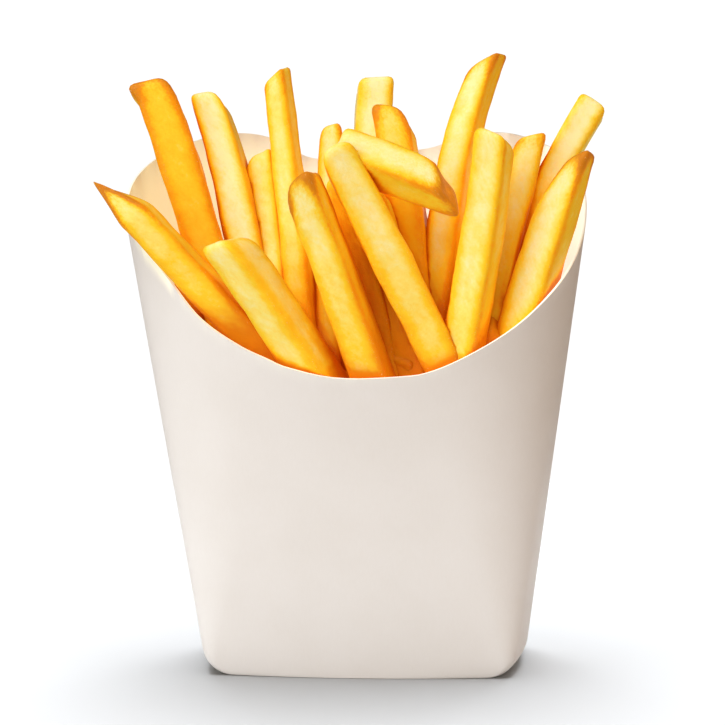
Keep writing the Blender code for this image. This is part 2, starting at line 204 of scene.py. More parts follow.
class Value:
    """A shader socket that takes part in Python expressions, each adding its Math node."""

    def __init__(self, graph: "Graph", socket: bpy.types.NodeSocket) -> None:
        """Wrap one output socket of a graph."""
        self.graph = graph
        self.socket = socket

    def maths(self, operation: str, *others: "float | Value", clamp: bool = False) -> "Value":
        """Add a Math node on this value.

        Args:
            operation: The node's operation, such as MULTIPLY.
            others: Its further values.
            clamp: Whether the result is held between 0 and 1.

        Returns:
            The result.
        """
        values = dict(enumerate((self, *others)))
        settings = {"operation": operation, "use_clamp": clamp}
        return self.graph.node("ShaderNodeMath", settings, values)["Value"]

    def __add__(self, other: "float | Value") -> "Value":
        """Sum."""
        return self.maths("ADD", other)

    def __sub__(self, other: "float | Value") -> "Value":
        """Difference."""
        return self.maths("SUBTRACT", other)

    def __rsub__(self, other: float) -> "Value":
        """Difference from a number."""
        return (self * -1.0) + other

    def __mul__(self, other: "float | Value") -> "Value":
        """Product."""
        return self.maths("MULTIPLY", other)

    __radd__ = __add__
    __rmul__ = __mul__

    def held(self) -> "Value":
        """Hold the value between 0 and 1."""
        return self.maths("ADD", 0.0, clamp=True)

    def smooth(self, low: float, high: float) -> "Value":
        """Rise smoothly from 0 to 1 between two values.

        Args:
            low: Where the rise starts.
            high: Where it ends.

        Returns:
            The eased share.
        """
        values = {"Value": self, "From Min": low, "From Max": high}
        return self.graph.node("ShaderNodeMapRange", {"interpolation_type": "SMOOTHSTEP"}, values)["Result"]


class Made:
    """A node that was added, whose outputs are read by name."""

    def __init__(self, graph: "Graph", node: bpy.types.Node) -> None:
        """Keep the node and the graph that it is in."""
        self.graph = graph
        self.node = node

    def __getitem__(self, name: str) -> Value:
        """Output socket with this name or identifier."""
        return Value(self.graph, Graph.find(self.node.outputs, name))


class Graph:
    """The node graph of one material or world."""

    def __init__(self, tree: bpy.types.NodeTree) -> None:
        """Start with an empty tree."""
        self.tree = tree
        tree.nodes.clear()

    @staticmethod
    def find(sockets: bpy.types.bpy_prop_collection, key: str | int) -> bpy.types.NodeSocket:
        """Look up a socket.

        Args:
            sockets: The inputs or the outputs of a node.
            key: The socket's identifier, its name or its place.

        Returns:
            The socket.
        """
        if isinstance(key, int):
            return sockets[key]
        found = [socket for socket in sockets if socket.identifier == key]
        return found[0] if found else sockets[key]

    def node(self, kind: str, settings: dict | None = None, values: dict | None = None) -> Made:
        """Add a node.

        Args:
            kind: The node's type.
            settings: Its settings, with a ramp's stops as pairs of place and colour.
            values: The values or links of its sockets, by name, identifier or place.

        Returns:
            The node, whose outputs are read by name.
        """
        made = self.tree.nodes.new(kind)
        for name, setting in (settings or {}).items():
            if name == "stops":
                self.set_stops(made.color_ramp, setting)
            else:
                setattr(made, name, setting)
        for key, value in (values or {}).items():
            socket = self.find(made.inputs, key)
            if isinstance(value, Value):
                self.tree.links.new(value.socket, socket)
            else:
                socket.default_value = value
        return Made(self, made)

    @staticmethod
    def set_stops(ramp: bpy.types.ColorRamp, stops: tuple) -> None:
        """Give a colour ramp its stops.

        Args:
            ramp: The ramp.
            stops: Pairs of place and colour, from low to high.
        """
        while len(ramp.elements) > 1:
            ramp.elements.remove(ramp.elements[-1])
        ramp.elements[0].position = stops[0][0]
        ramp.elements[0].color = (*stops[0][1], 1.0)
        for place, colour in stops[1:]:
            ramp.elements.new(place).color = (*colour, 1.0)

    def mix(self, first: "Triple | Value", second: "Triple | Value", share: "float | Value") -> Value:
        """Blend two colours.

        Args:
            first: The colour at a share of 0.
            second: The colour at a share of 1.
            share: How much of the second there is.

        Returns:
            The blend.
        """
        ends = {
            name: colour if isinstance(colour, Value) else (*colour, 1.0)
            for name, colour in (("A_Color", first), ("B_Color", second))
        }
        blend = self.node("ShaderNodeMix", {"data_type": "RGBA"}, {"Factor_Float": share, **ends})
        return blend["Result_Color"]

    def stretched(self, place: Value, factors: Triple) -> Value:
        """Multiply a place by a factor along each axis."""
        return self.node("ShaderNodeVectorMath", {"operation": "MULTIPLY"}, {0: place, 1: factors})["Vector"]

    def turned(self, place: Value, angles: Triple) -> Value:
        """Turn a place about the origin by Euler angles in radians."""
        return self.node("ShaderNodeVectorRotate", {"rotation_type": "EULER_XYZ"},
                         {"Vector": place, "Rotation": angles})["Vector"]

    def cloud(self, place: Value, scale: float, detail: float = 2.0, roughness: float = 0.5) -> Value:
        """Soft noise between about 0.3 and 0.7.

        Args:
            place: Where it is read.
            scale: How many lumps there are to a unit.
            detail: How many finer layers it has.
            roughness: How strong these are.

        Returns:
            The noise.
        """
        values = {"Vector": place, "Scale": scale, "Detail": detail, "Roughness": roughness}
        return self.node("ShaderNodeTexNoise", {}, values)["Fac"]

    def bump(self, height: Value, strength: float, distance: float) -> Value:
        """Tilt the normals to a fine relief.

        Args:
            height: The relief.
            strength: How much of it shows.
            distance: How high it stands, in metres.

        Returns:
            The normals.
        """
        values = {"Strength": strength, "Distance": distance, "Height": height}
        return self.node("ShaderNodeBump", {}, values)["Normal"]

    def attribute(self, name: str, output: str = "Fac") -> Value:
        """Read an attribute of the mesh."""
        return self.node("ShaderNodeAttribute", {"attribute_name": name})[output]

    def finish(self, surface: Value) -> None:
        """Link the surface shader to the material's output."""
        self.node("ShaderNodeOutputMaterial", {}, {"Surface": surface})


def new_material(name: str) -> tuple[bpy.types.Material, Graph]:
    """Make an empty material.

    Args:
        name: The material's name.

    Returns:
        The material and its graph.
    """
    material = bpy.data.materials.new(name)
    material.use_nodes = True
    return material, Graph(material.node_tree)


@dataclass(frozen=True)
class FriedPotato:
    """Crisp fried potato: pale soft faces, amber long edges, browned tips and a fine oily grain.

    The tone runs from cream to deep. The weights say how far each thing moves it along that run,
    and the scales how many lumps, streaks or grains there are to a millimetre. The depth shade and
    shelter shade weights and the shaded colour paint shade down in the carton and between the
    fries. The painted glow is an emission painted on as the warm light that comes through the
    fries, from faint in the open to deep where they crowd.
    """

    name: str = "fried potato"
    cream: Triple = (1.0, 0.90, 0.47)
    pale: Triple = (1.0, 0.79, 0.19)
    gold: Triple = (1.0, 0.645, 0.028)
    amber: Triple = (1.0, 0.53, 0.010)
    deep: Triple = (0.92, 0.33, 0.002)
    shaded: Triple = (0.70, 0.16, 0.001)
    brown: Triple = (0.56, 0.19, 0.010)
    paler: float = 0.08
    arris_weight: float = 0.52
    lump_weight: float = 0.4
    streak_weight: float = 0.32
    grain_weight: float = 0.24
    depth_shade_weight: float = 0.42
    shelter_shade_weight: float = 0.62
    fried_weight: float = 0.7
    lump_scale: float = 0.22
    streak_scale: float = 0.9
    grain_scale: float = 1.6
    speck_scale: float = 3.2
    pore_scale: float = 5.0
    streak_turn: Triple = (0.5, 0.6, 0.3)
    streak_stretch: Triple = (0.9, 0.9, 0.18)
    crispness: float = 0.38
    relief: float = 0.5
    relief_height: float = 0.4 * MM
    softness: float = 0.35
    soft_reach: float = 3.5 * MM
    soft_colour: Triple = (1.0, 0.55, 0.14)
    gloss: float = 0.12
    faint: Triple = (0.32, 0.14, 0.01)
    painted_glow: Triple = (0.78, 0.41, 0.006)
    painted_glow_deep: Triple = (0.26, 0.045, 0.0)
    painted_glow_strength: float = 0.2

    def material(self) -> bpy.types.Material:
        """Make the finish, which follows each fry through its attributes.

        Returns:
            The material.
        """
        material, graph = new_material(self.name)
        place = graph.attribute("place", "Vector")
        arris = graph.attribute("arris")
        depth_shade = graph.attribute("depth_shade")
        shelter = graph.attribute("shelter")
        lumps = graph.cloud(place, self.lump_scale, 3.0, 0.6)
        slanted = graph.stretched(graph.turned(place, self.streak_turn), self.streak_stretch)
        streaks = graph.cloud(slanted, self.streak_scale, 3.0)
        grain = graph.cloud(place, self.grain_scale, 4.0, 0.6)
        # The tone attribute holds each fry's tone plus its painted side shade.
        share = graph.attribute("tone") - self.paler + self.arris_weight * arris.smooth(0.2, 1.05)
        share = share + self.lump_weight * (lumps - 0.5) + self.streak_weight * (streaks - 0.5)
        share = share + self.grain_weight * (grain - 0.5)
        # Painted shade: the tone deepens down in the carton and where the fries crowd, where shade falls.
        share = share + self.depth_shade_weight * depth_shade + self.shelter_shade_weight * shelter.smooth(0.15, 0.75)
        edged = graph.attribute("tip") * (0.7 + 0.5 * arris)
        fried = (edged + 0.5 * (lumps - 0.5) + 0.5 * (grain - 0.5)).smooth(0.1, 1.0)
        share = share + self.fried_weight * fried
        run = (self.cream, self.pale, self.gold, self.amber, self.deep)
        stops = tuple(zip((0.0, 0.25, 0.5, 0.75, 1.0), run))
        body = graph.node("ShaderNodeValToRGB", {"stops": stops}, {"Fac": share.held()})["Color"]
        # Painted shade: the colour turns to the shaded colour deep in the carton and in the gaps.
        body = graph.mix(body, self.shaded, (shelter + 0.7 * depth_shade).smooth(0.48, 0.95) * 0.95)
        colour = graph.mix(body, self.brown, fried * fried * 0.9)
        speck = graph.cloud(place, self.speck_scale).smooth(0.64, 0.72) * arris.smooth(0.5, 1.0)
        colour = graph.mix(colour, self.cream, speck * 0.45)
        # Painted glow: an emission, faint in the open and deep between crowded fries, for light through the
        # fries.
        painted_glow_colour = graph.mix(self.painted_glow, self.painted_glow_deep, shelter.smooth(0.36, 0.72))
        painted_glow_colour = graph.mix(self.faint, painted_glow_colour, shelter.smooth(0.12, 0.5))
        roughness = self.crispness + 0.2 * (lumps - 0.5) + 0.2 * (grain - 0.5)
        height = 0.6 * grain + 0.5 * streaks + 0.35 * graph.cloud(place, self.pore_scale)
        relief = graph.bump(height, self.relief, self.relief_height)
        surface = graph.node("ShaderNodeBsdfPrincipled", {}, {
            "Base Color": colour,
            "Roughness": roughness,
            "Normal": relief,
            "Subsurface Weight": self.softness,
            "Subsurface Radius": self.soft_colour,
            "Subsurface Scale": self.soft_reach,
            "Specular IOR Level": self.gloss,
            "Emission Color": painted_glow_colour,
            "Emission Strength": self.painted_glow_strength,
        })
        graph.finish(surface["BSDF"])
        return material


@dataclass(frozen=True)
class Paperboard:
    """Warm white board: a smooth face with faint fibre, mottled tone and a soft sheen.

    The painted bounce colour and the glows are painted warm light on the inside, where light
    comes through the fries. The glow, an emission, runs from the left to the right of the carton,
    where it is stronger.
    """

    name: str = "warm white paperboard"
    face: Triple = (0.825, 0.79, 0.755)
    cloudy: Triple = (0.80, 0.762, 0.722)
    painted_bounce: Triple = (0.98, 0.90, 0.78)
    glow: Triple = (0.78, 1.0, 0.98)
    glow_left: Triple = (0.46, 0.55, 0.32)
    glow_strength: float = 0.56
    glow_span: Pair = (-0.052, 0.03)
    mottle_scale: float = 60.0
    fibre_scale: float = 2200.0
    fibre_stretch: Triple = (1.0, 1.0, 0.25)
    relief: float = 0.12
    relief_height: float = 0.1 * MM
    roughness: float = 0.5
    gloss: float = 0.35

    def material(self) -> bpy.types.Material:
        """Make the finish on the piece's own coordinates, with painted warm light where the fries are near.

        Returns:
            The material.
        """
        material, graph = new_material(self.name)
        place = graph.node("ShaderNodeTexCoord")["Object"]
        mottle = graph.cloud(place, self.mottle_scale, 3.0)
        fibre = graph.cloud(graph.stretched(place, self.fibre_stretch), self.fibre_scale, 3.0, 0.6)
        uneven = mottle.smooth(0.35, 0.7) * 0.7 + fibre.smooth(0.3, 0.7) * 0.3
        colour = graph.mix(self.face, self.cloudy, uneven)
        # Painted light: near the fries the board turns to the painted bounce colour and glows.
        fry_bounce = graph.attribute("fry_bounce").smooth(0.0, 0.5)
        colour = graph.mix(colour, self.painted_bounce, fry_bounce)
        across = graph.node("ShaderNodeSeparateXYZ", {}, {"Vector": place})["X"].smooth(*self.glow_span)
        glow = graph.mix(self.glow_left, self.glow, across)
        surface = graph.node("ShaderNodeBsdfPrincipled", {}, {
            "Base Color": colour,
            "Roughness": self.roughness + 0.1 * (fibre - 0.5),
            "Normal": graph.bump(fibre, self.relief, self.relief_height),
            "Specular IOR Level": self.gloss,
            "Emission Color": graph.mix(BLACK, glow, fry_bounce),
            "Emission Strength": self.glow_strength,
        })
        graph.finish(surface["BSDF"])
        return material


@dataclass(frozen=True)
class Floor:
    """A plain white studio floor, which the eye sees a little brighter, so that shadows stay light."""

    radius: float = 0.17
    segments: int = 96
    drop: float = 0.1 * MM
    reflected: Triple = (0.575, 0.60, 0.63)
    glow: float = 0.02

    def build(self) -> bpy.types.Object:
        """Lay the floor just under the carton.

        Returns:
            The floor, which belongs to the studio.
        """
        shape = bmesh.new()
        bmesh.ops.create_circle(shape, cap_ends=True, radius=self.radius, segments=self.segments)
        bmesh.ops.translate(shape, vec=(0.0, 0.0, -self.drop), verts=shape.verts)
        floor = new_piece("floor", shape)
        material, graph = new_material("studio floor")
        matte = graph.node("ShaderNodeBsdfDiffuse", {}, {"Color": (*self.reflected, 1.0)})["BSDF"]
        seen = graph.node("ShaderNodeLightPath")["Is Camera Ray"]
        glow = graph.node("ShaderNodeEmission", {}, {"Strength": seen * self.glow})["Emission"]
        graph.finish(graph.node("ShaderNodeAddShader", {}, {0: matte, 1: glow})["Shader"])
        floor.data.materials.append(material)
        return floor


def new_piece(name: str, shape: bmesh.types.BMesh) -> bpy.types.Object:
    """Turn a bmesh into a smooth object at the origin, and free it.

    Args:
        name: The object's name.
        shape: The mesh, which is freed.

    Returns:
        The object.
    """
    mesh = bpy.data.meshes.new(name)
    shape.to_mesh(mesh)
    shape.free()
    mesh.shade_smooth()
    piece = bpy.data.objects.new(name, mesh)
    bpy.context.scene.collection.objects.link(piece)
    return piece


def raise_wall(rings: list[list[Vector]]) -> bmesh.types.BMesh:
    """Raise a wall ring by ring from a flat closed bottom, and leave its top open.

    Args:
        rings: The points of each ring, in the same order, from the bottom up.

    Returns:
        The wall.
    """
    shape = bmesh.new()
    bmesh.ops.create_circle(shape, cap_ends=True, radius=1.0, segments=len(rings[0]))
    ring = list(shape.verts)
    for vert, point in zip(ring, rings[0]):
        vert.co = point
    for points in rings[1:]:
        edges = [edge for edge in shape.edges if edge.is_boundary]
        made = bmesh.ops.extrude_edge_only(shape, edges=edges)["geom"]
        fresh = {item for item in made if isinstance(item, bmesh.types.BMVert)}
        ring = [next(edge.other_vert(vert) for edge in vert.link_edges if edge.other_vert(vert) in fresh)
                for vert in ring]
        for vert, point in zip(ring, points):
            vert.co = point
    return shape


def held(number: float) -> float:
    """Hold a number between 0 and 1."""
    return min(1.0, max(0.0, number))


@dataclass(frozen=True)
class Shelter:
    """How enclosed each spot of a piece is, from straight lines out to what stands around it."""

    directions: int = 44
    start: float = 0.4 * MM
    reach: float = 24.0 * MM

    def tree(self, pieces: list[bpy.types.Object]) -> BVHTree:
        """Gather the faces of some pieces.

        Args:
            pieces: The pieces.

        Returns:
            The tree that lines are cast against.
        """
        points: list[Vector] = []
        faces: list[list[int]] = []
        for piece in pieces:
            first = len(points)
            points += [vert.co.copy() for vert in piece.data.vertices]
            faces += [[first + corner for corner in face.vertices] for face in piece.data.polygons]
        return BVHTree.FromPolygons(points, faces)

    def lines(self) -> list[Vector]:
        """Spread directions evenly over a sphere, in a spiral.

        Returns:
            The directions, each one unit long.
        """
        turn = math.pi * (3.0 - math.sqrt(5.0))
        found = []
        for step in range(self.directions):
            rise = 1.0 - (2.0 * step + 1.0) / self.directions
            flat = math.sqrt(1.0 - rise * rise)
            found.append(Vector((flat * math.cos(turn * step), flat * math.sin(turn * step), rise)))
        return found

    def write(self, piece: bpy.types.Object, tree: BVHTree, name: str) -> None:
        """Measure a piece and write the result as an attribute, 0 in the open and 1 shut in.

        Args:
            piece: The piece.
            tree: What may stand around it.
            name: The attribute's name.
        """
        lines = self.lines()
        measured = np.zeros(len(piece.data.vertices), np.float32)
        for vert in piece.data.vertices:
            origin = vert.co + self.start * vert.normal
            met = 0.0
            whole = 0.0
            for line in lines:
                weight = line.dot(vert.normal)
                if weight <= 0.0:
                    continue
                whole += weight
                distance = tree.ray_cast(origin, line, self.reach)[3]
                if distance is not None:
                    met += weight * (1.0 - distance / self.reach)
            measured[vert.index] = met / whole
        layer = piece.data.attributes.new(name, "FLOAT", "POINT")
        layer.data.foreach_set("value", measured)


@dataclass(frozen=True)
class WallOutline:
    """The carton's wall: straight lines from a narrow base to an oval mouth, both named by size."""

    base_half_width: float = 34.2 * MM
    base_half_depth: float = 12.5 * MM
    corner_radius: float = 1.5 * MM
    bulge: float = 1.4 * MM
    mouth_half_width: float = 50.0 * MM
    mouth_half_depth: float = 26.0 * MM
    mouth_height: float = 97.3 * MM
    end_round: float = 5.3 * MM
    rim_heights: dict[float, float] = field(default_factory=lambda: {
        -180: 102.6, -163: 98.2, -146: 92.2, -130: 82.3, -114: 76.3, -101: 72.8,
        -92: 69.6, -84: 69.6, -72: 71.4, -56: 75.5, -42: 79.9, -28: 85.3, -14: 91.1,
        0: 97.8, 14: 105.8, 30: 112.0, 48: 115.7, 60: 115.2, 71: 111.8,
        90: 110.2, 107: 109.7, 119: 115.0, 130: 116.0, 148: 113.0, 165: 108.2,
    })

    def arc(self, half_length: float) -> Pair:
        """Radius of the shallow arc over a straight side, and the angle from its middle to its end."""
        radius = (half_length ** 2 + self.bulge ** 2) / (2.0 * self.bulge)
        return radius, math.asin(half_length / radius)

    def base_point(self, angle: float) -> Vector:
        """Find the point of the base outline whose outward normal has an angle.

        Args:
            angle: The normal's angle from +X, in radians.

        Returns:
            The point, in the plane.
        """
        across = math.cos(angle)
        along = math.sin(angle)
        half_width = self.base_half_width - self.corner_radius
        half_depth = self.base_half_depth - self.corner_radius
        front_radius, front_end = self.arc(half_width)
        side_radius, side_end = self.arc(half_depth)
        if abs(along) > math.cos(front_end):
            centre = math.copysign(1.0, along) * (half_depth + self.bulge - front_radius)
            point = Vector((front_radius * across, centre + front_radius * along))
        elif abs(across) > math.cos(side_end):
            centre = math.copysign(1.0, across) * (half_width + self.bulge - side_radius)
            point = Vector((centre + side_radius * across, side_radius * along))
        else:
            point = Vector((math.copysign(half_width, across), math.copysign(half_depth, along)))
        return point + self.corner_radius * Vector((across, along))

    def mouth_point(self, angle: float) -> Vector:
        """Find the point of the oval mouth whose outward normal has an angle.

        Args:
            angle: The normal's angle from +X, in radians.

        Returns:
            The point, in the plane.
        """
        across = self.mouth_half_width * math.cos(angle)
        along = self.mouth_half_depth * math.sin(angle)
        reach = math.hypot(across, along)
        return Vector((self.mouth_half_width * across / reach, self.mouth_half_depth * along / reach))

    def point(self, angle: float, height: float, inset: float = 0.0) -> Vector:
        """Find a point of the wall.

        Args:
            angle: The wall's normal, in radians.
            height: The height above the base.
            inset: How far inside the outer face it is.

        Returns:
            The point. The lowest part tucks in at both ends, where the board turns under.
        """
        share = height / self.mouth_height
        flat = self.base_point(angle).lerp(self.mouth_point(angle), share)
        flat -= inset * Vector((math.cos(angle), math.sin(angle)))
        if height < self.end_round:
            rise = self.end_round - height
            tuck = self.end_round - math.sqrt(self.end_round ** 2 - rise ** 2)
            half_width = self.base_point(0.0).lerp(self.mouth_point(0.0), share).x
            flat.x *= 1.0 - tuck / half_width
        return Vector((flat.x, flat.y, height))

    def stations(self, count: int) -> list[float]:
        """Spread wall normals so that they lie close along the flat front and round the tight ends.

        Args:
            count: How many there are.

        Returns:
            Their angles from +X, in radians.
        """
        stretch = math.sqrt(self.mouth_half_width / self.mouth_half_depth)
        turns = [2.0 * math.pi * step / count - math.pi for step in range(count)]
        return [math.atan2(stretch * math.sin(turn), math.cos(turn)) for turn in turns]

    def rim_height(self, angle: float) -> float:
        """Read the height of the cut edge from the smooth closed curve through its named heights.

        Args:
            angle: The wall's normal, in radians.

        Returns:
            The height.
        """
        turn = math.degrees(math.atan2(
            self.mouth_half_depth * math.sin(angle), self.mouth_half_width * math.cos(angle)))
        places = sorted(self.rim_heights)
        count = len(places)
        after = next((step for step, place in enumerate(places) if place > turn), count)
        knots = []
        for step in range(after - 2, after + 2):
            place = places[step % count]
            knots.append((place + 360.0 * (step // count), self.rim_heights[place]))
        (a, za), (b, zb), (c, zc), (d, zd) = knots
        span = c - b
        share = (turn - b) / span
        leaving = (zc - za) / (c - a) * span
        arriving = (zd - zb) / (d - b) * span
        rise = zc - zb
        cubic = leaving + arriving - 2.0 * rise
        square = 3.0 * rise - 2.0 * leaving - arriving
        return MM * (zb + share * (leaving + share * (square + share * cubic)))


@dataclass(frozen=True)
class Carton:
    """The folded board shell, with a thin cut edge."""

    wall: WallOutline
    board: float = 0.6 * MM
    stations: int = 288
    round_steps: int = 8
    levels: int = 20
    sharp_angle: float = math.radians(35.0)
    edge_face: Triple = (0.95, 0.92, 0.86)
    edge_cloudy: Triple = (0.90, 0.86, 0.78)

    def build(self) -> bpy.types.Object:
        """Raise the skin from the base ring by ring, and give the board its thickness.

        Returns:
            The carton, which replaces its solid.
        """
        shape = raise_wall(self.rings())
        bmesh.ops.recalc_face_normals(shape, faces=shape.faces)
        carton = new_piece("paperboard_carton", shape)
        thick = carton.modifiers.new("board", "SOLIDIFY")
        thick.thickness = self.board
        thick.offset = -1.0
        thick.use_even_offset = True
        thick.material_offset_rim = 1
        carton.data.materials.append(Paperboard().material())
        carton.data.materials.append(Paperboard("cut edge", self.edge_face, self.edge_cloudy).material())
        graph = bpy.context.evaluated_depsgraph_get()
        board = bpy.data.meshes.new_from_object(carton.evaluated_get(graph))
        carton.modifiers.clear()
        carton.data = board
        board.set_sharp_from_angle(angle=self.sharp_angle)
        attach(carton, "root")
        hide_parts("carton")
        return carton

    def rings(self) -> list[list[Vector]]:
        """Work out the rings of the skin.

        Returns:
            The rings' points, from the bottom up.
        """
        angles = self.wall.stations(self.stations)
        rings = []
        for step in range(self.round_steps + 1):
            fold = 0.5 * math.pi * step / self.round_steps
            height = self.wall.end_round * (1.0 - math.cos(fold))
            rings.append([self.wall.point(angle, height) for angle in angles])
        for level in range(1, self.levels + 1):
            share = level / self.levels
            ring = []
            for angle in angles:
                rise = self.wall.rim_height(angle) - self.wall.end_round
                ring.append(self.wall.point(angle, self.wall.end_round + share * rise))
            rings.append(ring)
        return rings


@dataclass(frozen=True)
class Core:
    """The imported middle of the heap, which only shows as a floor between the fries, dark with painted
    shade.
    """

    wall: WallOutline
    gap: float = 1.6 * MM
    bottom: float = 1.3 * MM
    shoulder: float = 56.0 * MM
    crown: float = 68.0 * MM
    levels: int = 24
    stations: int = 120
    crown_width: float = 0.7
    crown_depth: float = 0.6
    lump: float = 0.8 * MM
    lump_size: float = 7.0 * MM

    def build(self, material: bpy.types.Material) -> bpy.types.Object:
        """Raise the core inside the wall, close its top and give it lumps.

        Args:
            material: The potato's finish.

        Returns:
            The core.
        """
        angles = self.wall.stations(self.stations)
        rings = []
        for level in range(self.levels + 1):
            share = level / self.levels
            height = self.bottom + share * share * (self.shoulder - self.bottom)
            rings.append([self.wall.point(angle, height, self.gap) for angle in angles])
        rings.append([Vector((self.crown_width * point.x, self.crown_depth * point.y, self.crown))
                      for point in rings[-1]])
        shape = raise_wall(rings)
        bmesh.ops.holes_fill(shape, edges=[edge for edge in shape.edges if edge.is_boundary])
        bmesh.ops.recalc_face_normals(shape, faces=shape.faces)
        shape.normal_update()
        for vert in shape.verts:
            vert.co -= self.lump * (0.5 + 0.5 * noise.noise(vert.co / self.lump_size)) * vert.normal
        core = new_piece("heap_core", shape)
        places = np.empty(3 * len(core.data.vertices), np.float32)
        core.data.vertices.foreach_get("co", places)
        # The core is toned amber and takes the full painted depth shade.
        FryHeap.write_attributes(core.data, {
            "tone": np.full(len(core.data.vertices), Tone.AMBER.value),
            "depth_shade": np.ones(len(core.data.vertices)),
        }, places / MM)
        core.data.materials.append(material)
        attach(core, "root")
        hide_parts("fries")
        return core


@dataclass(frozen=True)
class Unevenness:
    """How one fry departs from a straight bar by chance.

    The dish is how far its faces sink between the edges. The twist is how far it turns from end
    to end, and the skew how far its section leans. The start is its own place in the noise.
    """

    dish: float
    twist: float
    skew: float
    start: Vector


